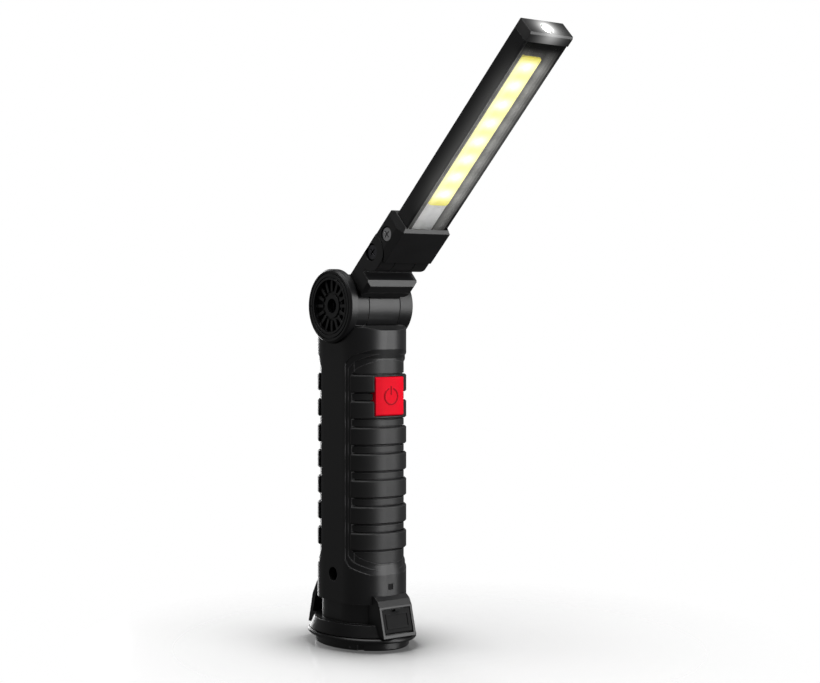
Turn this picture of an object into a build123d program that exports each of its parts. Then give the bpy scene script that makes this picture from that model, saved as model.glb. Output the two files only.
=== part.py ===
"""Folding magnetic work light: hand grip, tilting arm and slim COB lamp head.

Frame: origin at the centre of the base's underside, +Z up, -Y the front (the
red button side, the way the lamp leans), -X the dial side. Millimetres.
The arm and head are drawn upright above the hinge and then tilted as one.
"""
import os
from math import atan2, degrees, sqrt

from build123d import *

os.makedirs("parts", exist_ok=True)

# ---- hinge and pose ----
hinge_height = 133.0
lean_angle = 46.7
knuckle_s = 30.0
running_gap = 0.3
shaft_gap = 0.06

# ---- handle ----
handle_x = 28.2
handle_y = 37.4
handle_corner = 12.3
handle_bottom = 17.5
handle_top = 125.4
shoulder_run = 5.0
shoulder_drop = 1.9
grip_sunk = 1.0
grip_thickness = 2.0
cavity_inset = 4.5
cavity_top = 113.5
grip_low = 32.4
grip_high = 112.6
grip_side = 10.2
bevel_width = 3.6
bevel_side = 7.8
bevel_step = 0.4
corner_slope = 3.6
rib_count = 7
rib_first_top = 106.3
rib_pitch = 10.2
rib_tall = 6.8
rib_inset = 0.5
groove_tall = 0.55
groove_deep = 1.2
shell_screw_z = 28.0
screw_boss_radius = 3.6
screw_hole_radius = 2.75
screw_pilot_radius = 1.25
screw_head_radius = 2.4
screw_head_tall = 1.9
screw_shank_radius = 1.2
head_seat_x = -9.2
edge_cut = 0.8
rib_cut = 0.45

# ---- button and indicator ----
button_x = 13.6
button_z = 15.0
button_mid_z = 98.0
button_proud = 0.4
button_gap = 0.3
button_travel = 0.8
button_skirt = 3.2
stem_radius = 1.6
symbol_proud = 0.15
symbol_radius = 3.4
symbol_width = 0.55
indicator_z = 24.0
indicator_size = 2.4

# ---- hinge barrel and dial ----
barrel_radius = 12.5
knuckle_x0 = -5.4
knuckle_x1 = 9.5
left_ear_out = -12.4
right_ear_out = 16.0
hinge_shaft_radius = 2.5
hinge_head_radius = 4.4
hinge_head_tall = 2.6
hinge_nut_deep = 4.4
hinge_nut_across = 8.0
washer_thick = 0.8
dial_radius = 14.5
dial_thick = 3.6
dial_recess_radius = 10.3
dial_recess_deep = 2.6
dial_hub_sunk = 1.3
dial_vane_sunk = 1.2
dial_hub_radius = 4.7
dial_step_radius = 6.1
dial_step_sunk = 1.9
dial_hole_radius = 2.9
dial_rib_count = 16

# ---- arm ----
arm_half_x = 12.0
arm_base_s = 12.7
lip_end_s = 21.3
ear_radius = 7.3
ear_inner_x = 5.1
tongue_half_x = 4.8
arm_round = 2.4
knuckle_head_radius = 2.8
knuckle_head_tall = 1.7
knuckle_nut_across = 5.5
knuckle_pocket_deep = 2.4
knuckle_nut_deep = 2.6
clear_radius = 7.7
knuckle_shaft_radius = 1.5

# ---- head ----
mouth_s = 49.9
mouth_side_s = 47.3
head_screw_s = 41.3
head_screw_n = 1.7
tip_s = 143.5
panel_half_x = 10.0
panel_back = -0.8
panel_front = 7.1
frame_side_top = 6.6
frame_wall = 1.2
frame_floor = 1.5
tang_start_s = 38.6
pocket_start_s = 43.4
lens_thick = 1.3
lens_flat_half = 6.6
spreader_thick = 2.4
cob_board_thick = 0.8
glow_thick = 0.6
head_screw_radius = 2.6
spot_radius = 2.6
spot_board_half = 2.1
spot_led_half = 1.7
window_half_x = 6.2
window_end_s = 134.6
socket_front = 8.3
socket_back = -7.0
flat_front = 4.4
flat_back = -2.7
cap_start_s = 139.5
glow_start_s = 60.2
glow_end_s = 131.8
glow_half_x = 4.5
board_half_x = 4.9

# ---- base ----
collar_x = 27.0
collar_y = 32.8
collar_top = 17.5
skirt_top = 9.8
skirt_bottom = 5.4
skirt_top_radii = (17.0, 21.8)
skirt_bottom_radii = (18.6, 23.9)
ring_radii = (19.0, 25.2)
ring_low = 3.3
ring_high = 5.0
plate_radii = (16.6, 21.8)
plate_high = 3.0
fin_half_x = 7.9
rear_fin_half_x = 8.6
slope_foot = (-24.7, 5.4)
slope_head = (-21.8, 16.9)
pivot_radius = 4.0
magnet_radius = 9.0
hook_inner = 10.4
hook_outer = 12.8
hook_pivot_y = -11.0
hook_arc_y = 5.0
hook_mid_z = 1.2
hook_half_thick = 1.0
hook_rod_radius = 0.5
hook_rod_x = 11.6
hook_pin_half = 2.2
usb_z = 11.0
usb_face_y = -20.3
usb_long = 7.4
usb_wide = 8.9
usb_tall = 3.2
usb_wall = 0.35
flap_low = 2.3
flap_high = 10.9
flap_half_x = 6.6
spigot_wall = 1.3
hub_top = 7.3
magnet_thick = 2.6
slot_deep = 2.55

# ---- electrics inside the handle ----
cell_radius = 9.2
cell_low = 37.0
cell_high = 102.2
cell_y = 1.6
board_face_y = -12.9
board_thick = 1.6
board_half_wide = 5.4
board_low = 7.4
board_high = 106.0
switch_half = 3.0
switch_high = 1.6
spring_high = 4.0
spring_wire = 0.35
contact_thick = 0.4
plunger_radius = 1.7
plunger_face_y = board_face_y - 2.2


def solids_of(shape):
    """The plain solids of a shape, dropping slivers."""
    return [one for one in shape.solids() if one.volume > 0.01]


def save(name, *shapes):
    """Write one node's solids to its STEP file."""
    found = []
    for shape in shapes:
        found.extend(solids_of(shape))
    result = found[0] if len(found) == 1 else Compound(children=found)
    result.label = name
    export_step(result, f"parts/{name}.step")


def box(x0, x1, y0, y1, z0, z1):
    """A block given by its limits."""
    middle = Pos((x0 + x1) / 2, (y0 + y1) / 2, (z0 + z1) / 2)
    return middle * Box(x1 - x0, y1 - y0, z1 - z0)


def x_rod(radius, x0, x1, y, z):
    """A cylinder lying along X."""
    return Pos((x0 + x1) / 2, y, z) * Rot(0, 90, 0) * Cylinder(radius, x1 - x0)


def y_rod(radius, y0, y1, x, z):
    """A cylinder lying along Y."""
    return Pos(x, (y0 + y1) / 2, z) * Rot(90, 0, 0) * Cylinder(radius, y1 - y0)


def z_rod(radius, z0, z1, x=0.0, y=0.0):
    """An upright cylinder."""
    return Pos(x, y, (z0 + z1) / 2) * Cylinder(radius, z1 - z0)


def side_prism(points, x0, x1):
    """A Y-Z outline carried along X."""
    line = Polyline(*[(x0, y, z) for y, z in points], close=True)
    return extrude(make_face(line), amount=x1 - x0, dir=(1, 0, 0))


def head_prism(points, x0, x1):
    """An outline of (distance along the arm, height toward the lens side)."""
    return side_prism([(-n, s) for s, n in points], x0, x1)


def handle_section(grow):
    """The handle's rounded section, grown or shrunk."""
    return RectangleRounded(handle_x + 2 * grow, handle_y + 2 * grow, handle_corner + grow)


def handle_body(grow, z0, z1):
    """The handle's section carried between two heights."""
    return extrude(Pos(0, 0, z0) * handle_section(grow), amount=z1 - z0)


def oval_body(radii, z0, z1):
    """An upright oval column."""
    return extrude(Pos(0, 0, z0) * Ellipse(radii[0], radii[1]), amount=z1 - z0)


def grip_window(grow, side):
    """The grip opening seen from the side; side -1 is the front, +1 the rear."""
    near = grip_side - 0.6 * grow
    turn = near + 2.0
    front = handle_y / 2
    low = grip_low - grow
    high = grip_high + grow
    points = [
        (40.0, high), (front, high), (turn, high - corner_slope), (near, high - corner_slope - 2.4),
        (near, low + corner_slope + 2.4), (turn, low + corner_slope), (front, low), (40.0, low),
    ]
    return side_prism([(side * y, z) for y, z in points], -20.0, 20.0)


def long_section(points, s0, s1):
    """An outline of (x, height toward the lens side) carried along the arm."""
    line = Polyline(*[(x, -n, s0) for x, n in points], close=True)
    return extrude(make_face(line), amount=s1 - s0, dir=(0, 0, 1))


def on_board(half_x, thick, z0, z1):
    """A small part standing on the front face of the control board."""
    return box(-half_x, half_x, board_face_y - thick, board_face_y, z0, z1)


def hexagon(across, x0, x1, y, z):
    """A hexagonal prism along X."""
    side = across / sqrt(3)
    prism = extrude(RegularPolygon(side, 6), amount=x1 - x0)
    return Pos(x0, y, z) * Rot(0, 90, 0) * prism


def cross_slot(size, width, x0, x1, y, z):
    """A Phillips-style cross cut along X."""
    upright = box(x0, x1, y - width / 2, y + width / 2, z - size, z + size)
    level = box(x0, x1, y - size, y + size, z - width / 2, z + width / 2)
    return upright + level


# ---- handle shell halves ----
shell = handle_body(0, handle_bottom, handle_top)
shell = chamfer(shell.faces().sort_by(Axis.Z)[-1].edges(), edge_cut)
for side in (-1, 1):
    shoulder = [
        (handle_y / 2 + 1, handle_top - shoulder_drop), (handle_y / 2 + 1, handle_top + 5),
        (handle_y / 2 - shoulder_run, handle_top + 5), (handle_y / 2 - shoulder_run, handle_top),
        (handle_y / 2, handle_top - shoulder_drop),
    ]
    shell -= side_prism([(side * y, z) for y, z in shoulder], -20, 20)

# bevelled pockets for the grips: floors that slope up to the surface all round
bevel_over = 0.15
bevel_reach = bevel_width * (1 + bevel_over / grip_sunk)
floor = handle_body(-grip_sunk, grip_low, grip_high)
for start, end in ((grip_low, grip_low - bevel_reach), (grip_high, grip_high + bevel_reach)):
    inner = Pos(0, 0, start) * handle_section(-grip_sunk)
    outer = Pos(0, 0, end) * handle_section(bevel_over)
    floor += loft([inner, outer] if end > start else [outer, inner])
bevel_slant = [(12.15, grip_side + 1.0), (handle_x / 2 - bevel_step, bevel_side), (20, bevel_side), (20, 30)]
bevel_outline = [(-x, y) for x, y in reversed(bevel_slant)] + bevel_slant
for side in (-1, 1):
    face = make_face(Polyline(*[(x, side * y, grip_low - 5) for x, y in bevel_outline], close=True))
    opening = extrude(face, amount=grip_high - grip_low + 10, dir=(0, 0, 1))
    shell -= (opening & grip_window(bevel_width + 0.5, side)) - handle_body(-grip_sunk / 2, 0, 200) - floor
    shell -= (opening & grip_window(bevel_width / 2 + 0.35, side)) - floor
    shell -= grip_window(0, side) - handle_body(-grip_sunk - grip_thickness, 0, 200)
shell += x_rod(barrel_radius, left_ear_out, 0, 0, hinge_height)
shell += x_rod(barrel_radius, 0, right_ear_out, 0, hinge_height)
pocket_radius = barrel_radius + 0.4
shell -= x_rod(pocket_radius, knuckle_x0 - running_gap, knuckle_x1 + running_gap, 0, hinge_height)
shell -= handle_body(-cavity_inset, handle_bottom, cavity_top)
shell -= x_rod(dial_radius + 0.2, -20, left_ear_out, 0, hinge_height)
shell -= x_rod(hinge_shaft_radius, -20, 20, 0, hinge_height)
bolt_head_x = left_ear_out + hinge_head_tall
shell -= x_rod(hinge_head_radius + 0.2, left_ear_out, bolt_head_x, 0, hinge_height)
shell -= x_rod(5.6, right_ear_out - hinge_nut_deep, right_ear_out, 0, hinge_height)
shell -= box(-button_x / 2 - button_gap, button_x / 2 + button_gap, -20, -10,
             button_mid_z - button_z / 2 - button_gap, button_mid_z + button_z / 2 + button_gap)
shell -= box(-indicator_size / 2, indicator_size / 2, -20, -10,
             indicator_z - indicator_size / 2, indicator_z + indicator_size / 2)
cavity_half_x = handle_x / 2 - cavity_inset
shell += x_rod(screw_boss_radius, -cavity_half_x - 0.5, cavity_half_x + 0.5, 0, shell_screw_z)
shell -= x_rod(screw_hole_radius, -20, head_seat_x, 0, shell_screw_z)
shell -= x_rod(screw_pilot_radius, head_seat_x, 7.0, 0, shell_screw_z)
left_half = shell & box(-30, 0, -40, 40, 0, 200)
right_half = shell & box(0, 30, -40, 40, 0, 200)
save("handle_shell_left", left_half)
save("handle_shell_right", right_half)

# ---- rubber grips ----
for side, name in ((-1, "front_grip"), (1, "rear_grip")):
    sleeve = handle_body(-grip_sunk, grip_low, grip_high)
    sleeve -= handle_body(-grip_sunk - grip_thickness, grip_low, grip_high)
    grip = sleeve & grip_window(0, side)
    for index in range(rib_count):
        top = rib_first_top - index * rib_pitch
        band = handle_body(0, top - rib_tall, top)
        band = chamfer(band.edges().filter_by(Plane.XY), rib_cut)
        band -= handle_body(-grip_sunk - 0.4, top - rib_tall, top)
        for low in (top, top - rib_tall - groove_tall):
            groove = handle_body(0, low, low + groove_tall)
            grip -= groove - handle_body(-grip_sunk - groove_deep, low, low + groove_tall)
        grip += band & grip_window(-rib_inset, side)
    if side < 0:
        half = button_x / 2 + button_gap
        tall = button_z / 2 + button_gap
        grip -= box(-half, half, -25, 0, button_mid_z - tall, button_mid_z + tall)
    save(name, grip)

# ---- power button: red cap with a raised power symbol and an inner stem ----
cap_front = handle_y / 2 + button_proud
cap = handle_body(button_proud, button_mid_z - button_z / 2, button_mid_z + button_z / 2)
cap -= handle_body(-button_skirt, button_mid_z - button_z / 2, button_mid_z + button_z / 2)
cap &= box(-button_x / 2, button_x / 2, -25, 0, 0, 200)
cap = chamfer(cap.faces().sort_by(Axis.Y)[0].edges(), 0.5)
cap += y_rod(stem_radius, -handle_y / 2 + 1.0, plunger_face_y, 0, button_mid_z)
symbol_ring = Circle(symbol_radius) - Circle(symbol_radius - symbol_width)
symbol = Pos(0, 0, button_mid_z) * Rot(90, 0, 0) * symbol_ring
symbol = extrude(symbol, amount=cap_front + symbol_proud)
symbol -= box(-1.0, 1.0, -25, 0, button_mid_z, button_mid_z + 6)
half_line = symbol_width / 2
symbol += box(-half_line, half_line, -cap_front - symbol_proud, -10, button_mid_z + 0.6, button_mid_z + 4.0)
symbol &= box(-5, 5, -cap_front - 0.2, -cap_front + 0.6, 0, 200)
save("power_button", cap + symbol)

# ---- control board, switch, indicator ----
board_rear_y = board_face_y + board_thick
board = box(-board_half_wide, board_half_wide, board_face_y, board_rear_y, 18.0, board_high)
board += box(-4.8, 4.8, board_face_y, board_rear_y, board_low, 18.0)
save("control_board", board)
switch_face_y = board_face_y - switch_high
switch = box(-switch_half, switch_half, switch_face_y, board_face_y,
             button_mid_z - switch_half, button_mid_z + switch_half)
switch -= y_rod(plunger_radius + shaft_gap, switch_face_y, board_face_y - 0.2, 0, button_mid_z)
save("tact_switch", switch)
plunger_end_y = board_face_y - 0.2 - button_travel - 0.1
save("switch_plunger", y_rod(plunger_radius, plunger_face_y, plunger_end_y, 0, button_mid_z))
pipe_y = -handle_y / 2 + 0.25
pipe = box(-indicator_size / 2, indicator_size / 2, pipe_y, -13.6,
           indicator_z - indicator_size / 2, indicator_z + indicator_size / 2)
pipe += box(-2.0, 2.0, -14.0, -13.6, indicator_z - 2.0, indicator_z + 2.0)
save("indicator_window", pipe)
save("indicator_led", on_board(0.8, 0.6, indicator_z - 0.8, indicator_z + 0.8))
controller = on_board(3.0, 1.0, 70.0, 76.0)
charger = on_board(2.0, 0.9, 50.0, 55.0)
inductor = on_board(3.2, 1.0, 58.0, 65.0)
save("board_components", controller, charger, inductor)

# ---- rechargeable cell and its contacts ----
cell = z_rod(cell_radius, cell_low, cell_high - 1.4, 0, cell_y)
cell = chamfer(cell.edges().filter_by(GeomType.CIRCLE), 0.5)
cell += z_rod(3.0, cell_high - 1.4, cell_high, 0, cell_y)
save("battery_cell", cell)
contact_top = cell_high + contact_thick
top_contact = box(-4.0, 4.0, cell_y - 4.0, cell_y + 4.0, cell_high, contact_top)
top_contact += box(-2.0, 2.0, board_rear_y, cell_y - 4.0, cell_high, contact_top)
coil_path = Helix(pitch=1.5, height=3.6, radius=3.6, center=(0, cell_y, cell_low - spring_high))
coil_section = Plane(origin=coil_path @ 0, z_dir=coil_path % 0) * Circle(spring_wire)
spring = sweep(coil_section, path=coil_path)
foot_low = cell_low - spring_high - 0.75
foot_high = cell_low - spring_high - 0.3
foot = box(-4.6, 4.6, cell_y - 4.6, cell_y + 4.6, foot_low, foot_high)
foot += box(-2.0, 2.0, board_rear_y, cell_y - 4.6, foot_low, foot_high)
save("battery_top_contact", top_contact)
save("battery_spring", foot + spring)

# ---- shell screw ----
screw_face_x = head_seat_x - screw_head_tall
screw = x_rod(screw_head_radius, screw_face_x, head_seat_x, 0, shell_screw_z)
screw -= cross_slot(1.5, 0.5, screw_face_x, screw_face_x + 0.9, 0, shell_screw_z)
screw += x_rod(screw_shank_radius, head_seat_x, 6.6, 0, shell_screw_z)
save("shell_screw", screw)

# ---- hinge: dial cap, bolt, spring washer, nut ----
dial_face = left_ear_out - dial_thick
dial = x_rod(dial_radius, dial_face, left_ear_out, 0, hinge_height)
dial = chamfer(dial.faces().sort_by(Axis.X)[0].edges(), 0.7)
floor_x = dial_face + dial_recess_deep
dial -= x_rod(dial_recess_radius, dial_face - 1, floor_x, 0, hinge_height)
for radius, width, deep in ((13.1, 0.5, 0.45), (11.5, 0.45, 0.4)):
    groove = x_rod(radius, dial_face - 1, dial_face + deep, 0, hinge_height)
    groove -= x_rod(radius - width, dial_face - 1, dial_face + deep, 0, hinge_height)
    dial -= groove
dial += x_rod(dial_hub_radius, dial_face + dial_hub_sunk, floor_x, 0, hinge_height)
dial += x_rod(dial_step_radius, dial_face + dial_step_sunk, floor_x, 0, hinge_height)
vane_face = dial_face + dial_vane_sunk
vane = box(vane_face, floor_x + 0.1, -0.6, 0.6, dial_step_radius - 0.4, dial_recess_radius + 0.2)
for index in range(dial_rib_count):
    turn = index * 360.0 / dial_rib_count
    dial += Pos(0, 0, hinge_height) * Rot(turn, 0, 0) * vane
pointer_points = [(11.6, 0.0), (12.5, -0.8), (12.5, 0.8)]
dial -= side_prism([(y, hinge_height + w) for y, w in pointer_points], dial_face - 1, dial_face + 0.3)
dial -= x_rod(dial_hole_radius, -30, left_ear_out, 0, hinge_height)
save("hinge_dial", dial)
bolt = x_rod(hinge_head_radius, left_ear_out, bolt_head_x, 0, hinge_height)
bolt -= hexagon(4.0, left_ear_out, bolt_head_x - 0.8, 0, hinge_height)
bolt += x_rod(hinge_shaft_radius - 0.04, bolt_head_x, right_ear_out - 1.0, 0, hinge_height)
save("hinge_bolt", bolt)
washer_x = right_ear_out - hinge_nut_deep
nut_x = washer_x + washer_thick
washer = x_rod(5.4, washer_x, nut_x, 0, hinge_height)
washer -= x_rod(hinge_shaft_radius, washer_x, nut_x, 0, hinge_height)
save("hinge_spring_washer", washer)
nut = hexagon(hinge_nut_across, nut_x, nut_x + 2.6, 0, hinge_height)
nut -= x_rod(hinge_shaft_radius - 0.04, washer_x, washer_x + 4.0, 0, hinge_height)
save("hinge_nut", nut)

# ---- arm and head, drawn upright on the hinge, then leaned forward ----
arm_section = [
    (12.0, -3.0), (12.0, 6.9), (10.5, 8.3), (-10.5, 8.3), (-12.0, 6.9),
    (-12.0, -3.0), (-7.8, -6.4), (7.8, -6.4),
]
socket_section = [
    (-12.0, flat_front), (-11.3, socket_front), (11.3, socket_front), (12.0, flat_front),
    (12.0, flat_back), (7.2, socket_back), (-7.2, socket_back), (-12.0, flat_back),
]
lean = Pos(0, 0, hinge_height) * Rot(lean_angle, 0, 0)


def save_leaned(name, *shapes):
    """Write a node drawn upright after leaning it into place."""
    save(name, *[lean * shape for shape in shapes])


arm_outline = [
    (2.0, -6.4), (22.3, -6.4), (23.7, -4.8), (knuckle_s, -4.8), (knuckle_s, 2.0),
    (lip_end_s, 2.0), (lip_end_s, 6.3), (19.6, 8.2), (16.4, 8.2), (14.2, 7.1), (2.0, 7.1),
]
arm = head_prism(arm_outline, -arm_half_x, arm_half_x)
front_view = RectangleRounded(2 * arm_half_x, 60, arm_round)
arm &= Pos(0, 0, arm_base_s + 30) * Rot(90, 0, 0) * extrude(front_view, amount=20, both=True)
arm += head_prism([(0, -6.3), (14, -6.3), (14, 6.3), (0, 6.3)], knuckle_x0, knuckle_x1)
arm += x_rod(ear_radius, -arm_half_x, arm_half_x, 0, knuckle_s)
arm &= long_section(arm_section, arm_base_s - 12, knuckle_s + 20)
for x0, x1 in ((-20, knuckle_x0), (knuckle_x1, 20)):
    arm -= x_rod(barrel_radius + 0.4, x0, x1, 0, 0)
arm += x_rod(barrel_radius, knuckle_x0, knuckle_x1, 0, 0)
arm -= x_rod(clear_radius + 0.1, -ear_inner_x, ear_inner_x, 0, knuckle_s)
arm -= box(-ear_inner_x, ear_inner_x, -20, 20, knuckle_s, knuckle_s + 20)
arm -= x_rod(hinge_shaft_radius + shaft_gap, -30, 30, 0, 0)
arm -= x_rod(knuckle_shaft_radius + 0.02, -30, 30, 0, knuckle_s)
seat_x = -arm_half_x + knuckle_pocket_deep
arm -= x_rod(3.4, -arm_half_x, seat_x, 0, knuckle_s)
arm -= hexagon(knuckle_nut_across + 0.1, arm_half_x - knuckle_nut_deep, arm_half_x, 0, knuckle_s)
save_leaned("tilt_arm", arm)
knuckle_face_x = seat_x - knuckle_head_tall
knuckle_bolt = x_rod(knuckle_head_radius, knuckle_face_x, seat_x, 0, knuckle_s)
knuckle_bolt -= cross_slot(1.7, 0.55, knuckle_face_x, knuckle_face_x + 0.8, 0, knuckle_s)
knuckle_bolt += x_rod(knuckle_shaft_radius, seat_x, arm_half_x - 0.6, 0, knuckle_s)
save_leaned("knuckle_bolt", knuckle_bolt)
knuckle_nut = hexagon(knuckle_nut_across, arm_half_x - knuckle_nut_deep, arm_half_x - 0.3, 0, knuckle_s)
knuckle_nut -= x_rod(knuckle_shaft_radius, 0, 20, 0, knuckle_s)
save_leaned("knuckle_nut", knuckle_nut)

# ---- head socket ----
socket_outline = [
    (knuckle_s + 4.3, socket_back), (45.8, socket_back), (mouth_s, -2.2), (mouth_s, socket_front - 1.5),
    (mouth_s - 1.5, socket_front), (knuckle_s + 2.6, socket_front), (knuckle_s + 2.6, 5.0),
    (knuckle_s + 3.0, -6.2),
]
socket = head_prism(socket_outline, -arm_half_x, arm_half_x)
socket &= long_section(socket_section, knuckle_s, knuckle_s + 30)
mouth_points = [
    (-13.0, knuckle_s - 5), (13.0, knuckle_s - 5), (13.0, mouth_side_s - 1.5), (panel_half_x + 0.3, mouth_s),
    (-panel_half_x - 0.3, mouth_s), (-13.0, mouth_side_s - 1.5),
]
mouth_face = make_face(Polyline(*[(x, 20, along) for x, along in mouth_points], close=True))
socket &= extrude(mouth_face, amount=40, dir=(0, -1, 0))
for x0, x1 in ((-20, -tongue_half_x), (tongue_half_x, 20)):
    socket -= x_rod(clear_radius, x0, x1, 0, knuckle_s)
tongue = x_rod(ear_radius, -tongue_half_x, tongue_half_x, 0, knuckle_s)
tongue += head_prism([(knuckle_s, -6.0), (knuckle_s + 9, -6.0), (knuckle_s + 9, 6.0), (knuckle_s, 6.0)],
                     -tongue_half_x, tongue_half_x)
socket += tongue
socket -= box(-panel_half_x, panel_half_x, -panel_front, -panel_back, tang_start_s, mouth_s + 5)
socket -= x_rod(knuckle_shaft_radius + shaft_gap, -20, 20, 0, knuckle_s)
socket -= x_rod(3.0, -arm_half_x, -panel_half_x, -head_screw_n, head_screw_s)
socket -= x_rod(1.3, panel_half_x, arm_half_x - 0.8, -head_screw_n, head_screw_s)
save_leaned("head_socket", socket)
head_screw = x_rod(head_screw_radius, -arm_half_x + 0.35, -panel_half_x, -head_screw_n, head_screw_s)
head_screw -= cross_slot(1.6, 0.6, -arm_half_x, -arm_half_x + 1.2, -head_screw_n, head_screw_s)
head_screw += x_rod(1.25, -panel_half_x, arm_half_x - 1.0, -head_screw_n, head_screw_s)
save_leaned("head_screw", head_screw)

# ---- lamp panel ----
inner_x = panel_half_x - frame_wall
floor_n = panel_back + frame_floor
frame = box(-panel_half_x, panel_half_x, -frame_side_top, -panel_back, tang_start_s, cap_start_s)
frame -= box(-inner_x, inner_x, -frame_side_top, -floor_n, pocket_start_s, cap_start_s)
frame -= x_rod(1.25, -20, 20, -head_screw_n, head_screw_s)
save_leaned("lamp_frame", frame)
spreader_top = floor_n + spreader_thick
spreader = box(-inner_x + 0.2, inner_x - 0.2, -spreader_top, -floor_n, pocket_start_s + 0.1, cap_start_s)
save_leaned("heat_spreader", spreader)
board_top = spreader_top + cob_board_thick
board_start_s = pocket_start_s + 0.5
board_end_s = glow_end_s + 2
cob_board = box(-board_half_x, board_half_x, -board_top, -spreader_top, board_start_s, board_end_s)
save_leaned("cob_board", cob_board)
glow = box(-glow_half_x, glow_half_x, -board_top - glow_thick, -board_top, glow_start_s, glow_end_s)
glow = fillet(glow.edges().filter_by(Axis.Y), 1.2)
save_leaned("cob_phosphor", glow)
bezel_half_x = inner_x - 0.1
bezel_top = panel_front - lens_thick - 0.3
bezel_start_s = pocket_start_s + 0.1
bezel = box(-bezel_half_x, bezel_half_x, -bezel_top, -spreader_top, bezel_start_s, cap_start_s)
board_slot_x = board_half_x + 0.1
bezel -= box(-board_slot_x, board_slot_x, -bezel_top, -spreader_top, pocket_start_s, board_end_s + 0.1)
bezel -= box(-window_half_x, window_half_x, -bezel_top, -spreader_top - 0.4, pocket_start_s, window_end_s)
save_leaned("lamp_bezel", bezel)
lens_low = bezel_top + 0.05
lens_outline = [
    (-bezel_half_x, lens_low), (-bezel_half_x, frame_side_top), (-lens_flat_half, panel_front - 0.1),
    (lens_flat_half, panel_front - 0.1), (bezel_half_x, frame_side_top), (bezel_half_x, lens_low),
    (bezel_half_x - 1.2, lens_low), (bezel_half_x - 1.4, lens_low + 0.2),
    (-bezel_half_x + 1.4, lens_low + 0.2), (-bezel_half_x + 1.2, lens_low),
]
lens = long_section(lens_outline, bezel_start_s, cap_start_s)
save_leaned("lamp_lens", lens)

# ---- end cap with the spot lamp ----
cap_outline = [
    (cap_start_s, panel_back), (tip_s, panel_back), (tip_s, panel_front - 0.5),
    (tip_s - 0.8, panel_front), (cap_start_s, panel_front),
]
end_cap = head_prism(cap_outline, -panel_half_x, panel_half_x)
spot_n = (panel_back + panel_front) / 2
spot_seat_s = tip_s - 2.6
spot_room = spot_board_half + 0.1
end_cap -= z_rod(spot_radius + 0.1, spot_seat_s, tip_s, 0, -spot_n)
end_cap -= box(-spot_room, spot_room, -spot_n - spot_room, -spot_n + spot_room, cap_start_s, spot_seat_s)
save_leaned("end_cap", end_cap)
spot_board = box(-spot_board_half, spot_board_half, -spot_n - spot_board_half, -spot_n + spot_board_half,
                 cap_start_s + 0.1, cap_start_s + 0.9)
save_leaned("spot_board", spot_board)
spot_led = box(-spot_led_half, spot_led_half, -spot_n - spot_led_half, -spot_n + spot_led_half,
               cap_start_s + 0.9, cap_start_s + 1.4)
save_leaned("spot_led", spot_led)
spot_lens = z_rod(spot_radius, tip_s - 2.2, tip_s - 0.4, 0, -spot_n)
dome = Pos(0, -spot_n, spot_seat_s) * Sphere(3.3)
spot_lens = (spot_lens & dome) + z_rod(spot_radius, spot_seat_s, tip_s - 2.0, 0, -spot_n)
save_leaned("spot_lens", spot_lens)

# ---- base collar, skirt and fins ----
collar_section = RectangleRounded(collar_x, collar_y, handle_corner)
collar = extrude(Pos(0, 0, skirt_top - 1) * collar_section, amount=collar_top - skirt_top + 1)
skirt = loft([
    Pos(0, 0, skirt_bottom) * Ellipse(*skirt_bottom_radii),
    Pos(0, 0, skirt_top) * Ellipse(*skirt_top_radii),
])
base = collar + skirt
fin_points = [(-14, 5.4), slope_foot, slope_head, (-20.5, 19.3), (-18.4, 20.8), (-14, 20.8)]
front_fin = side_prism(fin_points, -fin_half_x, fin_half_x)
rear_outer = [(14, 5.4), (24.4, 5.4), (21.6, 16.9), (18.4, 22.6), (14, 22.6)]
rear_inner = [(14, 9.8), (21.4, 9.8), (19.8, 15.6), (17.0, 20.6), (14, 20.6)]
rear_fin = side_prism(rear_outer, -rear_fin_half_x, rear_fin_half_x)
rear_fin -= side_prism(rear_inner, -rear_fin_half_x - 1, rear_fin_half_x + 1)
fins = front_fin + rear_fin
fins = fins - handle_body(0.05, collar_top, 30) - (rear_fin & collar)
base += fins
spigot = handle_body(-cavity_inset - 0.05, collar_top - 1, 20.6)
spigot -= handle_body(-cavity_inset - spigot_wall, collar_top - 1, 20.6)
base += spigot
base -= handle_body(-cavity_inset - spigot_wall, 7.0, 22.0)
base -= z_rod(pivot_radius + shaft_gap, 0, 8)
slope_turn = degrees(atan2(slope_head[0] - slope_foot[0], slope_head[1] - slope_foot[1]))
fin_place = Pos(0, slope_foot[0], slope_foot[1]) * Rot(-slope_turn, 0, 0)
recess = fin_place * box(-6.9, 6.9, -1.0, 2.0, 1.3, 11.2)
base -= recess
base -= box(-5.4, 5.4, -20.5, -9.0, usb_z - 2.2, usb_z + 2.6)
base -= box(-4.7, 4.7, -24.0, -20.0, usb_z - 1.7, usb_z + 2.6)
base -= box(-5.6, 5.6, board_face_y - 0.1, -9.0, 7.0, 22.0)
save("base_collar", base)

# ---- trim ring under the skirt ----
ring = oval_body(ring_radii, ring_low, ring_high)
ring = chamfer(ring.edges().filter_by(Plane.XY), 0.5)
ring += oval_body((16.0, 21.0), ring_high, skirt_bottom)
ring -= z_rod(pivot_radius + shaft_gap, 0, 8)
save("base_trim_ring", ring)

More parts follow.
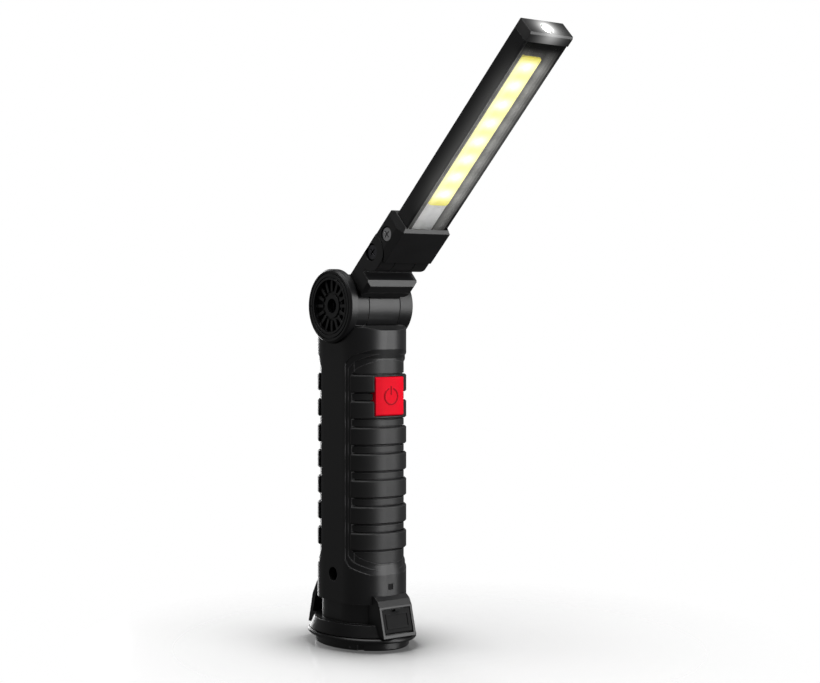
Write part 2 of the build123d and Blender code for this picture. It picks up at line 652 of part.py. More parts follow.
# ---- USB socket and its rubber flap ----
usb_section = RectangleRounded(usb_wide, usb_tall, 1.55)
usb_hole = RectangleRounded(usb_wide - 2 * usb_wall, usb_tall - 2 * usb_wall, 1.2)
usb_tube = extrude(usb_section, amount=usb_long) - extrude(Pos(0, 0, 1.4) * usb_hole, amount=6.0)
usb_tube += Pos(0, 0, 3.8) * Box(6.4, 0.7, 5.0)
usb = Pos(0, usb_face_y + usb_long, usb_z) * Rot(90, 0, 0) * usb_tube
save("usb_socket", usb)
flap = box(-flap_half_x, flap_half_x, 0.3, 1.7, flap_low, flap_high)
flap += x_rod(0.7, -flap_half_x, flap_half_x, 1.0, flap_low)
flap += box(-4.2, 4.2, 1.5, 2.3, 5.2, 7.6)
flap += box(-1.6, 1.6, -1.5, 0.5, flap_high - 0.9, flap_high - 0.2)
raised = box(-5.4, 5.4, 0.0, 0.4, 3.4, 9.2) - box(-4.9, 4.9, -0.1, 0.5, 3.9, 8.7)
save("usb_flap", fin_place * (flap + raised))

# ---- swivelling foot: plate, pivot, magnet, hook ----
foot_plate = oval_body(plate_radii, 0, plate_high)
foot_plate = chamfer(foot_plate.faces().sort_by(Axis.Z)[0].edges(), 0.5)
foot_plate += z_rod(pivot_radius, plate_high, hub_top)
foot_plate -= z_rod(magnet_radius + 0.02, 0, magnet_thick)
foot_plate -= z_rod(1.2, 3.6, hub_top)


def loop_outline(half, low):
    """A U-shaped loop outline, open end at low."""
    arch = Pos(0, hook_arc_y) * Circle(half)
    legs = Pos(0, (low + hook_arc_y) / 2) * Rectangle(2 * half, hook_arc_y - low)
    return arch + legs


hook_low = hook_pivot_y
slot_faces = loop_outline(hook_outer + 0.35, hook_low - 1.4) - loop_outline(hook_inner - 0.35, hook_low - 3)
foot_plate -= extrude(slot_faces, amount=slot_deep)
foot_plate -= box(12.0, 20.0, 0.8, 7.8, 0, slot_deep)
slot_turn = Rot(0, 0, -38) * box(-1.2, 1.2, -25, -17.6, 0, 2.4)
foot_plate -= slot_turn
for side in (-1, 1):
    rod_x = side * hook_rod_x
    foot_plate -= x_rod(hook_rod_radius, rod_x - 2.6, rod_x + 2.6, hook_pivot_y, hook_mid_z)
save("swivel_foot", foot_plate)
magnet = z_rod(magnet_radius, 0, magnet_thick)
magnet = chamfer(magnet.edges().filter_by(GeomType.CIRCLE), 0.25)
save("base_magnet", magnet)
hook_faces = loop_outline(hook_outer, hook_low) - loop_outline(hook_inner, hook_low - 3)
hook = extrude(Pos(0, 0, hook_mid_z - hook_half_thick) * hook_faces, amount=2 * hook_half_thick)
for side in (-1, 1):
    inner_end = side * hook_inner
    outer_end = side * hook_outer
    hook += x_rod(hook_half_thick, min(inner_end, outer_end), max(inner_end, outer_end),
                  hook_pivot_y, hook_mid_z)
hook -= x_rod(hook_rod_radius + shaft_gap, -20, 20, hook_pivot_y, hook_mid_z)
save("hanging_hook", hook)
pin = x_rod(hook_rod_radius, -hook_pin_half, hook_pin_half, hook_pivot_y, hook_mid_z)
save("hook_pins", *[Pos(side * hook_rod_x, 0, 0) * pin for side in (-1, 1)])
pivot_washer = z_rod(6.0, hub_top, hub_top + 0.8) - z_rod(1.3, hub_top, hub_top + 0.8)
save("pivot_washer", pivot_washer)
pivot_screw = z_rod(2.4, hub_top + 0.8, hub_top + 2.3) + z_rod(1.2, 3.8, hub_top + 0.8)
pivot_screw -= box(-1.5, 1.5, -0.25, 0.25, hub_top + 1.5, hub_top + 2.3)
pivot_screw -= box(-0.25, 0.25, -1.5, 1.5, hub_top + 1.5, hub_top + 2.3)
save("pivot_screw", pivot_screw)
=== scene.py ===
"""Folding work light, open and lit, on a pale studio floor."""

import math

import bpy
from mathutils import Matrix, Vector

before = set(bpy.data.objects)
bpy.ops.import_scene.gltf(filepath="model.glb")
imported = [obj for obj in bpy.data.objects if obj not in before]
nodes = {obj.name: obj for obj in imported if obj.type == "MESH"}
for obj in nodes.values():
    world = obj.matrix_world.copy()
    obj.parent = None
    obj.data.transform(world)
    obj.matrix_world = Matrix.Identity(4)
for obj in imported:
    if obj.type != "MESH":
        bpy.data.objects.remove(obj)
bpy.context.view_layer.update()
scene = bpy.context.scene

# the lamp's own directions: along it from the hinge, and out of its lit face
HINGE = Vector((0.0, 0.0, 0.133))
LEAN = math.radians(46.7)
ALONG = Vector((0.0, -math.sin(LEAN), math.cos(LEAN)))
FACING = Vector((0.0, -math.cos(LEAN), -math.sin(LEAN)))

# lit strip and its dies, as distances from the hinge
GLOW_START = 0.0602
GLOW_END = 0.1318
GLOW_HALF_WIDTH = 0.0046
FIRST_DIE = 0.0660
DIE_PITCH = 0.0088
DIE_COUNT = 8

# painted glow on the clear cover, the frame's side and the end cap, standing in for the light they pick up
# from the strip and the spot lamp
PAINTED_GLOW_REACH = 0.0065
PAINTED_GLOW_POWER = 0.30
SIDE_LOW = -0.0008
SIDE_HIGH = 0.0066
SIDE_PAINTED_GLOW = 0.05
TIP = 0.1435
PANEL_MIDDLE = 0.00315
SPOT_CENTRE = HINGE + TIP * ALONG + PANEL_MIDDLE * FACING
SPOT_REACH = 0.0019
SPOT_PAINTED_HALO = 3.2
SPOT_POWER = 14.0
NATURAL_BASE = 2.718

# surface detail
BEVEL_SAMPLES = 6
EDGE_STARTS = 0.995
EDGE_IS_FULL = 0.80
HANDLED_SHINE = -0.06
EDGE_SHINE = -0.08
SEAM_FLAT = 0.0005
SEAM_ROUND = 0.0009
BUTTON_FACE_Y = -0.0191
SIGN_STARTS = 0.00004
SIGN_IS_FULL = 0.00008
METAL_GRAIN = 900.0
METAL_EDGE = 0.0001
METAL_RIDGE = 0.000012
DUST_GRAIN = 900.0


# ---------------------------------------------------------------- node helpers
def new_material(name):
    """An empty node material with an output and a Principled shader."""
    material = bpy.data.materials.new(name)
    material.use_nodes = True
    tree = material.node_tree
    tree.nodes.clear()
    output = tree.nodes.new("ShaderNodeOutputMaterial")
    shader = tree.nodes.new("ShaderNodeBsdfPrincipled")
    tree.links.new(shader.outputs[0], output.inputs["Surface"])
    return material, tree, shader


def add(tree, kind, **settings):
    """A new node of a kind, with its settings."""
    node = tree.nodes.new(kind)
    for key, value in settings.items():
        setattr(node, key, value)
    return node


def object_points(tree):
    """The piece's own coordinates, which ride with it."""
    return add(tree, "ShaderNodeTexCoord").outputs["Object"]


def noise(tree, scale, detail=3.0, roughness=0.55, points=None):
    """Cloudy noise from 0 to 1, on the piece's own coordinates."""
    node = add(tree, "ShaderNodeTexNoise")
    node.inputs["Scale"].default_value = scale
    node.inputs["Detail"].default_value = detail
    node.inputs["Roughness"].default_value = roughness
    tree.links.new(points or object_points(tree), node.inputs["Vector"])
    return node.outputs["Fac"]


def remap(tree, value, low, high, to_low=0.0, to_high=1.0):
    """A value carried from one range to another and held inside it."""
    node = add(tree, "ShaderNodeMapRange", clamp=True)
    node.inputs["From Min"].default_value = low
    node.inputs["From Max"].default_value = high
    node.inputs["To Min"].default_value = to_low
    node.inputs["To Max"].default_value = to_high
    tree.links.new(value, node.inputs["Value"])
    return node.outputs["Result"]


def math_node(tree, operation, a, b=None, c=None):
    """One arithmetic step on numbers or sockets."""
    node = add(tree, "ShaderNodeMath", operation=operation)
    for socket, value in zip(node.inputs, (a, b, c)):
        if value is None:
            continue
        if isinstance(value, (int, float)):
            socket.default_value = value
        else:
            tree.links.new(value, socket)
    return node.outputs[0]


def times(tree, first, *others):
    """The product of several numbers or sockets."""
    for other in others:
        first = math_node(tree, "MULTIPLY", first, other)
    return first


def split_points(tree, points):
    """The X, Y and Z of a point."""
    node = add(tree, "ShaderNodeSeparateXYZ")
    tree.links.new(points, node.inputs[0])
    return node.outputs


def from_hinge(tree, points, direction):
    """How far a point lies from the hinge in one direction."""
    offset = add(tree, "ShaderNodeVectorMath", operation="SUBTRACT")
    offset.inputs[1].default_value = HINGE
    tree.links.new(points, offset.inputs[0])
    reach = add(tree, "ShaderNodeVectorMath", operation="DOT_PRODUCT")
    reach.inputs[1].default_value = direction
    tree.links.new(offset.outputs[0], reach.inputs[0])
    return reach.outputs["Value"]


def distance_from(tree, points, place):
    """How far a point lies from a fixed place."""
    node = add(tree, "ShaderNodeVectorMath", operation="DISTANCE")
    node.inputs[1].default_value = place
    tree.links.new(points, node.inputs[0])
    return node.outputs["Value"]


def shader_of(material):
    """The Principled shader of a material."""
    return [node for node in material.node_tree.nodes if node.type == "BSDF_PRINCIPLED"][0]


def mix_colour(tree, factor, a, b):
    """A colour between two others, each a tuple or a socket."""
    node = add(tree, "ShaderNodeMix", data_type="RGBA")
    tree.links.new(factor, node.inputs["Factor"])
    for name, value in (("A", a), ("B", b)):
        socket = [one for one in node.inputs if one.name == name and one.type == "RGBA"][0]
        if isinstance(value, tuple):
            socket.default_value = (*value, 1.0)
        else:
            tree.links.new(value, socket)
    return [one for one in node.outputs if one.type == "RGBA"][0]


def edge_mask(tree, radius):
    """1 on the rounded edges of a part, 0 on its faces."""
    rounded = add(tree, "ShaderNodeBevel", samples=BEVEL_SAMPLES)
    rounded.inputs["Radius"].default_value = radius
    flat = add(tree, "ShaderNodeNewGeometry").outputs["Normal"]
    dot = add(tree, "ShaderNodeVectorMath", operation="DOT_PRODUCT")
    tree.links.new(rounded.outputs[0], dot.inputs[0])
    tree.links.new(flat, dot.inputs[1])
    return remap(tree, dot.outputs["Value"], EDGE_STARTS, EDGE_IS_FULL), rounded.outputs[0]


def bump(tree, height, distance, strength, normal):
    """Fine relief laid over a rounded normal."""
    node = add(tree, "ShaderNodeBump")
    node.inputs["Strength"].default_value = strength
    node.inputs["Distance"].default_value = distance
    tree.links.new(height, node.inputs["Height"])
    tree.links.new(normal, node.inputs["Normal"])
    return node.outputs[0]


def sharp_seam(tree, points, mask, rounded):
    """Keeps the edges along the middle plane sharp, so that the line between two halves stays thin."""
    beside = math_node(tree, "ABSOLUTE", split_points(tree, points)["X"])
    away = remap(tree, beside, SEAM_FLAT, SEAM_ROUND)
    flat = add(tree, "ShaderNodeNewGeometry").outputs["Normal"]
    blend = add(tree, "ShaderNodeMix", data_type="VECTOR")
    tree.links.new(away, blend.inputs["Factor"])
    ends = [socket for socket in blend.inputs if socket.type == "VECTOR" and socket.name in "AB"]
    tree.links.new(flat, ends[0])
    tree.links.new(rounded, ends[1])
    blended = [socket for socket in blend.outputs if socket.type == "VECTOR"][0]
    return times(tree, mask, away), blended


def moulded(name, dark, light, rough, grain, depth, edge=0.00025, edge_highlight_grey=0.03, specular=0.45, seam=False):
    """Moulded polymer: fine grain, cloudy sheen, polished edges with a painted highlight on them, faint
    handling marks.
    """
    material, tree, shader = new_material(name)
    points = object_points(tree)
    cloud = noise(tree, 55.0, 4.0, points=points)
    fine = noise(tree, grain, 2.0, points=points)
    smear = noise(tree, 14.0, 5.0, 0.7, points=points)
    mask, rounded = edge_mask(tree, edge)
    if seam:
        mask, rounded = sharp_seam(tree, points, mask, rounded)
    colour = mix_colour(tree, remap(tree, cloud, 0.35, 0.65), dark, light)
    # painted highlight: the rounded edges are lightened toward a pale grey, broken up by the smear noise
    edge_highlight_mask = times(tree, mask, remap(tree, smear, 0.3, 0.65, 0.45, 1.0))
    colour = mix_colour(tree, edge_highlight_mask, colour, (edge_highlight_grey, edge_highlight_grey, edge_highlight_grey * 1.02))
    tree.links.new(colour, shader.inputs["Base Color"])
    base_rough = remap(tree, cloud, 0.3, 0.7, rough - 0.04, rough + 0.05)
    handled = times(tree, remap(tree, smear, 0.5, 0.75), HANDLED_SHINE)
    polished = times(tree, mask, EDGE_SHINE)
    total = math_node(tree, "ADD", base_rough, math_node(tree, "ADD", handled, polished))
    tree.links.new(total, shader.inputs["Roughness"])
    tree.links.new(bump(tree, fine, depth, 0.6, rounded), shader.inputs["Normal"])
    shader.inputs["Specular IOR Level"].default_value = specular
    return material


def metal(name, colour, rough, stretch=(1.0, 1.0, 1.0), metallic=1.0):
    """Machined or plated metal with fine directional lines."""
    material, tree, shader = new_material(name)
    mapping = add(tree, "ShaderNodeMapping")
    mapping.inputs["Scale"].default_value = stretch
    tree.links.new(object_points(tree), mapping.inputs["Vector"])
    lines = noise(tree, METAL_GRAIN, 2.0, points=mapping.outputs[0])
    cloud = noise(tree, 120.0, 3.0)
    mask, rounded = edge_mask(tree, METAL_EDGE)
    shade = tuple(level * 0.72 for level in colour)
    tinted = mix_colour(tree, remap(tree, cloud, 0.3, 0.7), shade, colour)
    # painted highlight: the rounded edges are lightened toward a brighter copy of the colour
    edge_highlight_colour = tuple(min(1.0, level * 1.5 + 0.03) for level in colour)
    tinted = mix_colour(tree, times(tree, mask, 0.7), tinted, edge_highlight_colour)
    tree.links.new(tinted, shader.inputs["Base Color"])
    tree.links.new(remap(tree, lines, 0.3, 0.7, rough - 0.07, rough + 0.09), shader.inputs["Roughness"])
    tree.links.new(bump(tree, lines, METAL_RIDGE, 0.5, rounded), shader.inputs["Normal"])
    shader.inputs["Metallic"].default_value = metallic
    return material


def clear(name, tint, rough, ior):
    """Clear polycarbonate with faint dust."""
    material, tree, shader = new_material(name)
    dust = noise(tree, DUST_GRAIN, 2.0)
    tree.links.new(remap(tree, dust, 0.55, 0.8, rough, rough + 0.06), shader.inputs["Roughness"])
    smear = noise(tree, 30.0, 4.0)
    smeared = tuple(level * 0.96 for level in tint)
    colour = mix_colour(tree, remap(tree, smear, 0.4, 0.7), tint, smeared)
    tree.links.new(colour, shader.inputs["Base Color"])
    shader.inputs["Transmission Weight"].default_value = 1.0
    shader.inputs["IOR"].default_value = ior
    return material


# ---------------------------------------------------------------- materials
shell_black = moulded("shell_black", (0.0042, 0.0042, 0.0046), (0.0072, 0.0072, 0.0078),
                      rough=0.38, grain=5200.0, depth=0.000016, edge_highlight_grey=0.14, seam=True)
arm_black = moulded("arm_black", (0.0085, 0.0085, 0.0089), (0.0115, 0.0115, 0.0120),
                    rough=0.36, grain=5200.0, depth=0.000014)
base_black = moulded("base_black", (0.0035, 0.0035, 0.0038), (0.0062, 0.0062, 0.0066),
                     rough=0.36, grain=5200.0, depth=0.000016)
rubber = moulded("grip_rubber", (0.0055, 0.0055, 0.0058), (0.0095, 0.0095, 0.0098),
                 rough=0.47, grain=3800.0, depth=0.000026, edge=0.00038, edge_highlight_grey=0.13, specular=0.42)
dial_black = moulded("dial_black", (0.0045, 0.0045, 0.005), (0.008, 0.008, 0.0085),
                     rough=0.36, grain=5200.0, depth=0.000016, edge=0.00015, edge_highlight_grey=0.05)
bezel_black = moulded("bezel_black", (0.0030, 0.0030, 0.0032), (0.0050, 0.0050, 0.0052),
                      rough=0.45, grain=3000.0, depth=0.000002, edge=0.0001, edge_highlight_grey=0.006, specular=0.2)
flap_rubber = moulded("flap_rubber", (0.0045, 0.0045, 0.0047), (0.0080, 0.0080, 0.0082),
                      rough=0.62, grain=3800.0, depth=0.000026, specular=0.14)
part_black = moulded("small_part_black", (0.008, 0.008, 0.009), (0.016, 0.016, 0.017),
                     rough=0.42, grain=5000.0, depth=0.00002)
hook_black = moulded("hook_black", (0.005, 0.005, 0.0055), (0.009, 0.009, 0.0095),
                     rough=0.33, grain=5000.0, depth=0.00001)
window_smoke = moulded("window_smoke", (0.0025, 0.0025, 0.0028), (0.0040, 0.0040, 0.0043),
                       rough=0.50, grain=3000.0, depth=0.000002, edge=0.0001, edge_highlight_grey=0.01, specular=0.12)
dark_screw = metal("screw_black_oxide", (0.10, 0.10, 0.11), 0.36)
plated_screw = metal("screw_plated", (0.66, 0.66, 0.67), 0.42)
nickel = metal("nickel_plate", (0.72, 0.71, 0.67), 0.24)
magnet_metal = metal("magnet_nickel", (0.60, 0.60, 0.61), 0.30)
spreader_metal = metal("spreader_aluminium", (0.80, 0.80, 0.81), 0.35, stretch=(1.0, 0.15, 0.15))
board_green = moulded("solder_mask", (0.012, 0.10, 0.04), (0.02, 0.15, 0.06),
                      rough=0.30, grain=4000.0, depth=0.00001)
sleeve = moulded("cell_sleeve", (0.05, 0.20, 0.42), (0.07, 0.26, 0.50),
                 rough=0.28, grain=2500.0, depth=0.00001)
spot_clear = clear("spot_clear", (0.97, 0.98, 0.98), 0.02, 1.49)


def button_red():
    """Satin red cap; the raised power sign is a darker red."""
    material, tree, shader = new_material("button_red")
    points = object_points(tree)
    fine = noise(tree, 4200.0, 2.0, points=points)
    cloud = noise(tree, 90.0, 3.0, points=points)
    mask, rounded = edge_mask(tree, 0.0003)
    colour = mix_colour(tree, remap(tree, cloud, 0.35, 0.65), (0.78, 0.003, 0.017), (0.85, 0.005, 0.023))
    depth = split_points(tree, points)["Y"]
    raised = remap(tree, depth, BUTTON_FACE_Y - SIGN_STARTS, BUTTON_FACE_Y - SIGN_IS_FULL)
    colour = mix_colour(tree, raised, colour, (0.40, 0.002, 0.010))
    # painted highlight: the rounded edges are lightened toward a paler red
    colour = mix_colour(tree, times(tree, mask, 0.4), colour, (0.95, 0.06, 0.09))
    tree.links.new(colour, shader.inputs["Base Color"])
    tree.links.new(remap(tree, cloud, 0.3, 0.7, 0.50, 0.58), shader.inputs["Roughness"])
    shader.inputs["Specular IOR Level"].default_value = 0.06
    tree.links.new(bump(tree, fine, 0.00001, 0.5, rounded), shader.inputs["Normal"])
    shader.inputs["Subsurface Weight"].default_value = 0.08
    shader.inputs["Subsurface Radius"].default_value = (0.0008, 0.0002, 0.0002)
    return material


def lamp_coordinates(tree, points):
    """Distance along the lamp from the hinge, and distance off its centre line."""
    return from_hinge(tree, points, ALONG), math_node(tree, "ABSOLUTE", split_points(tree, points)["X"])


def between(tree, along, rise_from, rise_to, fall_to, fall_from):
    """1 along a stretch of the lamp, easing to 0 beyond both its ends."""
    return times(tree, remap(tree, along, rise_from, rise_to), remap(tree, along, fall_from, fall_to))


def die_wave(tree, along):
    """1 over each die and 0 half way between two, and 0 beyond the first and last."""
    phase = math_node(tree, "DIVIDE", math_node(tree, "SUBTRACT", along, FIRST_DIE), DIE_PITCH)
    wave = math_node(tree, "COSINE", times(tree, phase, 2 * math.pi))
    wave = remap(tree, wave, -1.0, 1.0)
    begin = remap(tree, phase, -0.5, -0.3)
    finish = remap(tree, phase, DIE_COUNT - 0.5, DIE_COUNT - 0.7)
    return times(tree, wave, times(tree, begin, finish))


def phosphor():
    """Lit yellow silicone with eight brighter dies behind it and duller ends."""
    material, tree, shader = new_material("phosphor_lit")
    points = object_points(tree)
    along, across = lamp_coordinates(tree, points)
    wave = die_wave(tree, along)
    radial = remap(tree, across, GLOW_HALF_WIDTH, 0.0)
    spot = times(tree, math_node(tree, "POWER", wave, 0.8), math_node(tree, "POWER", radial, 0.6))
    ends = between(tree, along, GLOW_START, GLOW_START + 0.0045, GLOW_END - 0.003, GLOW_END)
    grain = noise(tree, 1500.0, 2.0, points=points)
    base = mix_colour(tree, remap(tree, grain, 0.3, 0.7), (0.80, 0.72, 0.03), (0.88, 0.80, 0.06))
    tree.links.new(base, shader.inputs["Base Color"])
    glow = mix_colour(tree, spot, (1.0, 0.97, 0.66), (1.0, 0.99, 0.93))
    glow = mix_colour(tree, ends, (1.0, 0.86, 0.10), glow)
    tree.links.new(glow, shader.inputs["Emission Color"])
    power = math_node(tree, "MULTIPLY_ADD", math_node(tree, "POWER", spot, 1.5), 0.72, 0.46)
    power = times(tree, power, remap(tree, ends, 0.0, 1.0, 0.55, 1.0))
    tree.links.new(power, shader.inputs["Emission Strength"])
    tree.links.new(remap(tree, grain, 0.3, 0.7, 0.45, 0.6), shader.inputs["Roughness"])
    shader.inputs["Specular IOR Level"].default_value = 0.25
    return material


def cob_strip():
    """The lamp board: pale bare metal at the foot of the strip, dark solder mask beyond its far end."""
    material = metal("cob_aluminium", (0.95, 0.95, 0.96), 0.55, stretch=(1.0, 0.15, 0.15), metallic=0.1)
    tree = material.node_tree
    shader = shader_of(material)
    bare = shader.inputs["Base Color"].links[0].from_socket
    along = from_hinge(tree, object_points(tree), ALONG)
    masked = remap(tree, along, GLOW_END - 0.0012, GLOW_END - 0.0006)
    tree.links.new(mix_colour(tree, masked, bare, (0.006, 0.006, 0.0065)), shader.inputs["Base Color"])
    return material


def lens_lit():
    """Clear cover with fine dust, and a painted glow round the strip behind it, as if the strip lit the
    cover up.
    """
    material, tree, shader = new_material("lens_clear")
    points = object_points(tree)
    dust = noise(tree, DUST_GRAIN, 2.0, points=points)
    tree.links.new(remap(tree, dust, 0.55, 0.8, 0.02, 0.05), shader.inputs["Roughness"])
    shader.inputs["Base Color"].default_value = (0.98, 0.985, 0.985, 1.0)
    shader.inputs["Transmission Weight"].default_value = 1.0
    shader.inputs["IOR"].default_value = 1.3
    along, across = lamp_coordinates(tree, points)
    wave = remap(tree, die_wave(tree, along), 0.0, 1.0, 0.8, 1.0)
    spread = times(tree, math_node(tree, "DIVIDE", across, PAINTED_GLOW_REACH), -1.0)
    fall = math_node(tree, "POWER", NATURAL_BASE, times(tree, spread, math_node(tree, "ABSOLUTE", spread)))
    ends = between(tree, along, GLOW_START - 0.020, GLOW_START + 0.006, GLOW_END - 0.004, GLOW_END + 0.005)
    beside = remap(tree, across, 0.0030, 0.0052, 0.35, 1.0)
    speck = remap(tree, dust, 0.3, 0.7, 0.85, 1.15)
    # painted glow: emission falling off across the strip and mottled by the dust, standing in for the
    # strip's light in the cover
    painted_glow = times(tree, times(tree, fall, wave), times(tree, ends, beside), speck, PAINTED_GLOW_POWER)
    shader.inputs["Emission Color"].default_value = (1.0, 0.99, 0.95, 1.0)
    tree.links.new(painted_glow, shader.inputs["Emission Strength"])
    return material


def led_lit(name, strength):
    """A white light package with a warm mottle, glowing at a given strength."""
    material, tree, shader = new_material(name)
    grain = noise(tree, 2500.0, 2.0)
    base = mix_colour(tree, remap(tree, grain, 0.3, 0.7), (0.9, 0.86, 0.6), (0.95, 0.93, 0.8))
    tree.links.new(base, shader.inputs["Base Color"])
    glow = mix_colour(tree, remap(tree, grain, 0.2, 0.8), (1.0, 0.97, 0.88), (1.0, 1.0, 0.98))
    tree.links.new(glow, shader.inputs["Emission Color"])
    shader.inputs["Emission Strength"].default_value = strength
    shader.inputs["Roughness"].default_value = 0.45
    return material


def lamp_side():
    """The lamp's frame: gloss black, with a faint painted glow toward its front edge along the strip,
    standing in for the strip's light on it.
    """
    material = moulded("lamp_black", (0.0070, 0.0070, 0.0074), (0.0095, 0.0095, 0.0100),
                       rough=0.26, grain=6500.0, depth=0.000006)
    tree = material.node_tree
    shader = shader_of(material)
    points = object_points(tree)
    along = from_hinge(tree, points, ALONG)
    forward = remap(tree, from_hinge(tree, points, FACING), SIDE_LOW, SIDE_HIGH)
    rise = math_node(tree, "POWER", forward, 2.0)
    ends = between(tree, along, GLOW_START - 0.004, GLOW_START + 0.012, GLOW_END - 0.012, GLOW_END + 0.004)
    # painted glow: emission on the frame near the strip, standing in for the strip's light
    tree.links.new(times(tree, rise, ends, SIDE_PAINTED_GLOW), shader.inputs["Emission Strength"])
    shader.inputs["Emission Color"].default_value = (1.0, 1.0, 0.98, 1.0)
    return material


def lamp_cap():
    """The lamp's end cap: gloss black, with a soft painted glow round the spot lamp, standing in for its
    light on the cap.
    """
    material = moulded("cap_black", (0.0030, 0.0030, 0.0034), (0.0052, 0.0052, 0.0056),
                       rough=0.28, grain=6500.0, depth=0.000006, edge=0.0002, edge_highlight_grey=0.02)
    tree = material.node_tree
    shader = shader_of(material)
    near = math_node(tree, "DIVIDE", distance_from(tree, object_points(tree), SPOT_CENTRE), SPOT_REACH)
    fall = math_node(tree, "POWER", NATURAL_BASE, times(tree, near, -1.0))
    # painted glow: emission falling off round the spot lamp
    tree.links.new(times(tree, fall, SPOT_PAINTED_HALO), shader.inputs["Emission Strength"])
    shader.inputs["Emission Color"].default_value = (1.0, 1.0, 0.99, 1.0)
    return material


looks = {
    shell_black: ["handle_shell_left", "handle_shell_right"],
    arm_black: ["tilt_arm", "head_socket"],
    base_black: ["base_collar", "base_trim_ring", "swivel_foot"],
    rubber: ["front_grip", "rear_grip"],
    flap_rubber: ["usb_flap"],
    dial_black: ["hinge_dial"],
    lamp_side(): ["lamp_frame"],
    lamp_cap(): ["end_cap"],
    bezel_black: ["lamp_bezel"],
    part_black: ["tact_switch", "switch_plunger", "board_components"],
    hook_black: ["hanging_hook"],
    button_red(): ["power_button"],
    dark_screw: ["shell_screw", "hinge_bolt", "hinge_nut", "knuckle_bolt", "knuckle_nut", "pivot_screw",
                 "hook_pins"],
    plated_screw: ["head_screw"],
    nickel: ["battery_top_contact", "battery_spring", "usb_socket", "hinge_spring_washer", "pivot_washer"],
    magnet_metal: ["base_magnet"],
    cob_strip(): ["cob_board"],
    spreader_metal: ["heat_spreader"],
    board_green: ["control_board", "spot_board"],
    sleeve: ["battery_cell"],
    window_smoke: ["indicator_window"],
    lens_lit(): ["lamp_lens"],
    spot_clear: ["spot_lens"],
    phosphor(): ["cob_phosphor"],
    led_lit("spot_lit", SPOT_POWER): ["spot_led"],
    led_lit("status_led", 0.0): ["indicator_led"],
}
for material, names in looks.items():
    for name in names:
        mesh = nodes[name].data
        mesh.materials.clear()
        mesh.materials.append(material)

# ---------------------------------------------------------------- floor
FLOOR_RADIUS = 1.2
FLOOR_SIDES = 96
FLOOR_DROP = 0.0002
FLOOR_GLOW = 0.09
FLOOR_ROUGH = 0.12
SHADE_CENTRE = Vector((0.024, -0.018, 0.0))
SHADE_FULL = 0.040
SHADE_NONE = 0.145
CONTACT_SHADOW_REACH = 0.045
PAINTED_CONTACT_SHADE = (0.03, 0.03, 0.03)
PALE_LOW = (0.94, 0.94, 0.94)
PALE_HIGH = (0.97, 0.97, 0.97)
turns = [2 * math.pi * step / FLOOR_SIDES for step in range(FLOOR_SIDES)]
floor_ring = [(FLOOR_RADIUS * math.cos(turn), FLOOR_RADIUS * math.sin(turn), 0.0) for turn in turns]
floor_mesh = bpy.data.meshes.new("floor")
floor_mesh.from_pydata(floor_ring, [], [list(range(FLOOR_SIDES))])
floor = bpy.data.objects.new("floor", floor_mesh)
scene.collection.objects.link(floor)
floor.location.z = -FLOOR_DROP
floor.visible_glossy = False
floor.visible_diffuse = False
floor_look, floor_tree, floor_shader = new_material("floor_pale")
floor_points = object_points(floor_tree)
floor_cloud = noise(floor_tree, 3.0, 3.0, points=floor_points)
floor_colour = mix_colour(floor_tree, remap(floor_tree, floor_cloud, 0.3, 0.7), PALE_LOW, PALE_HIGH)
# painted contact shadow: the floor's colour darkens toward near black where the object crowds it, found by
# ambient occlusion
contact = add(floor_tree, "ShaderNodeAmbientOcclusion", samples=16, only_local=False)
contact.inputs["Distance"].default_value = CONTACT_SHADOW_REACH
open_sky = remap(floor_tree, contact.outputs["AO"], 0.55, 0.97)
floor_colour = mix_colour(floor_tree, open_sky, PAINTED_CONTACT_SHADE, floor_colour)
floor_tree.links.new(floor_colour, floor_shader.inputs["Base Color"])
floor_shader.inputs["Emission Color"].default_value = (1.0, 1.0, 1.0, 1.0)
floor_shader.inputs["Emission Strength"].default_value = FLOOR_GLOW
floor_shader.inputs["Roughness"].default_value = FLOOR_ROUGH
floor_shader.inputs["Specular IOR Level"].default_value = 0.5
away = distance_from(floor_tree, floor_points, SHADE_CENTRE)
fade = remap(floor_tree, away, SHADE_FULL, SHADE_NONE, 1.0, 0.0)
floor_tree.links.new(fade, floor_shader.inputs["Alpha"])
floor_mesh.materials.append(floor_look)

# ---------------------------------------------------------------- light
ROOM_BAND = 0.22
ROOM_DARK = 0.06
BAND_HEIGHT = 0.02
BAND_FULL = 0.05
BAND_NONE = 0.40
world = bpy.data.worlds.new("studio")
scene.world = world
world.use_nodes = True
world_tree = world.node_tree
backdrop = world_tree.nodes["Background"]
backdrop.inputs["Color"].default_value = (1.0, 1.0, 1.0, 1.0)
backdrop.inputs["Strength"].default_value = 1.0
dim = world_tree.nodes.new("ShaderNodeBackground")
dim.inputs["Color"].default_value = (1.0, 1.0, 1.0, 1.0)
direction = world_tree.nodes.new("ShaderNodeTexCoord").outputs["Generated"]
upward = split_points(world_tree, direction)
above = math_node(world_tree, "SUBTRACT", upward["Z"], BAND_HEIGHT)
level = math_node(world_tree, "ABSOLUTE", above)
room = remap(world_tree, level, BAND_FULL, BAND_NONE, ROOM_BAND, ROOM_DARK)
world_tree.links.new(room, dim.inputs["Strength"])
choose = world_tree.nodes.new("ShaderNodeMixShader")
path = world_tree.nodes.new("ShaderNodeLightPath")
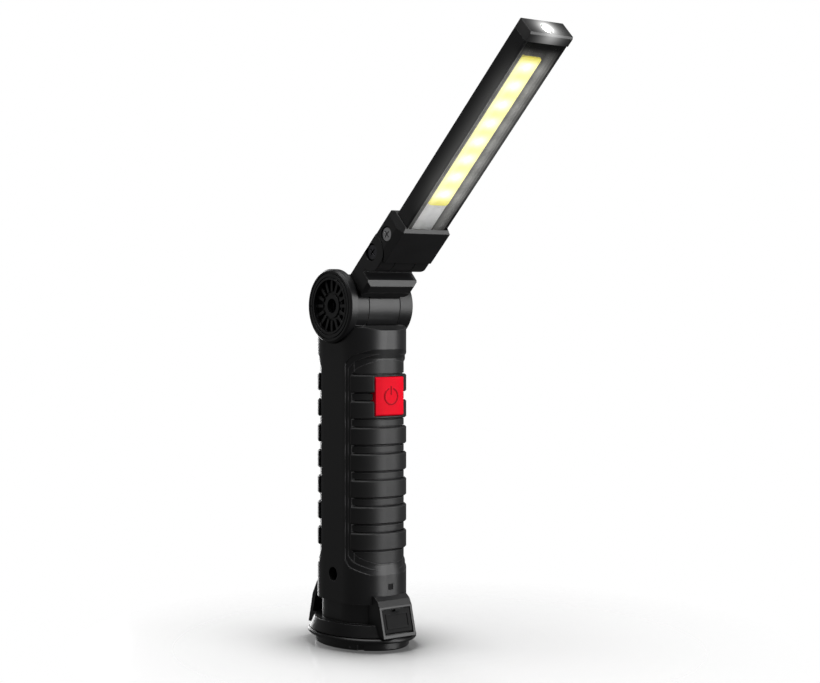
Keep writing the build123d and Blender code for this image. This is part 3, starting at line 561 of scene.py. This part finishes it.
world_tree.links.new(path.outputs["Is Camera Ray"], choose.inputs[0])
world_tree.links.new(dim.outputs[0], choose.inputs[1])
world_tree.links.new(backdrop.outputs[0], choose.inputs[2])
world_tree.links.new(choose.outputs[0], world_tree.nodes["World Output"].inputs["Surface"])


def softbox(name, azimuth, height, distance, width, tall, watts):
    """An area light round the object; azimuth 0 is in front, 90 is on the +X side."""
    data = bpy.data.lights.new(name, "AREA")
    data.shape = "RECTANGLE"
    data.size = width
    data.size_y = tall
    data.energy = watts
    lamp = bpy.data.objects.new(name, data)
    scene.collection.objects.link(lamp)
    turn = math.radians(azimuth)
    lamp.location = (distance * math.sin(turn), -distance * math.cos(turn), height)
    lamp.rotation_euler = (LIGHT_AIM - lamp.location).to_track_quat("-Z", "Y").to_euler()
    lamp.visible_camera = False


LIGHT_AIM = Vector((0, 0, 0.12))
softbox("key_softbox", azimuth=24, height=0.30, distance=1.25, width=1.0, tall=1.1, watts=17.5)
softbox("rim_softbox", azimuth=163, height=0.35, distance=1.3, width=0.35, tall=1.2, watts=7)
softbox("top_softbox", azimuth=0, height=1.5, distance=0.05, width=1.6, tall=1.6, watts=26)

# ---------------------------------------------------------------- camera
CAMERA_AZIMUTH = math.radians(-37.0)
CAMERA_DISTANCE = 0.655
SENSOR_WIDTH = 36.0
FOCAL_LENGTH = 72.4
SHIFT = (0.0589, -0.0433)
CLIP = (0.01, 50.0)
camera_data = bpy.data.cameras.new("camera")
camera_data.sensor_width = SENSOR_WIDTH
camera_data.lens = FOCAL_LENGTH
camera_data.shift_x, camera_data.shift_y = SHIFT
camera_data.clip_start, camera_data.clip_end = CLIP
camera = bpy.data.objects.new("camera", camera_data)
scene.collection.objects.link(camera)
toward_camera = Vector((math.sin(CAMERA_AZIMUTH), -math.cos(CAMERA_AZIMUTH), 0))
camera.location = HINGE + CAMERA_DISTANCE * toward_camera
camera.rotation_euler = (HINGE - camera.location).to_track_quat("-Z", "Y").to_euler()
scene.camera = camera
scene.view_settings.view_transform = "Standard"
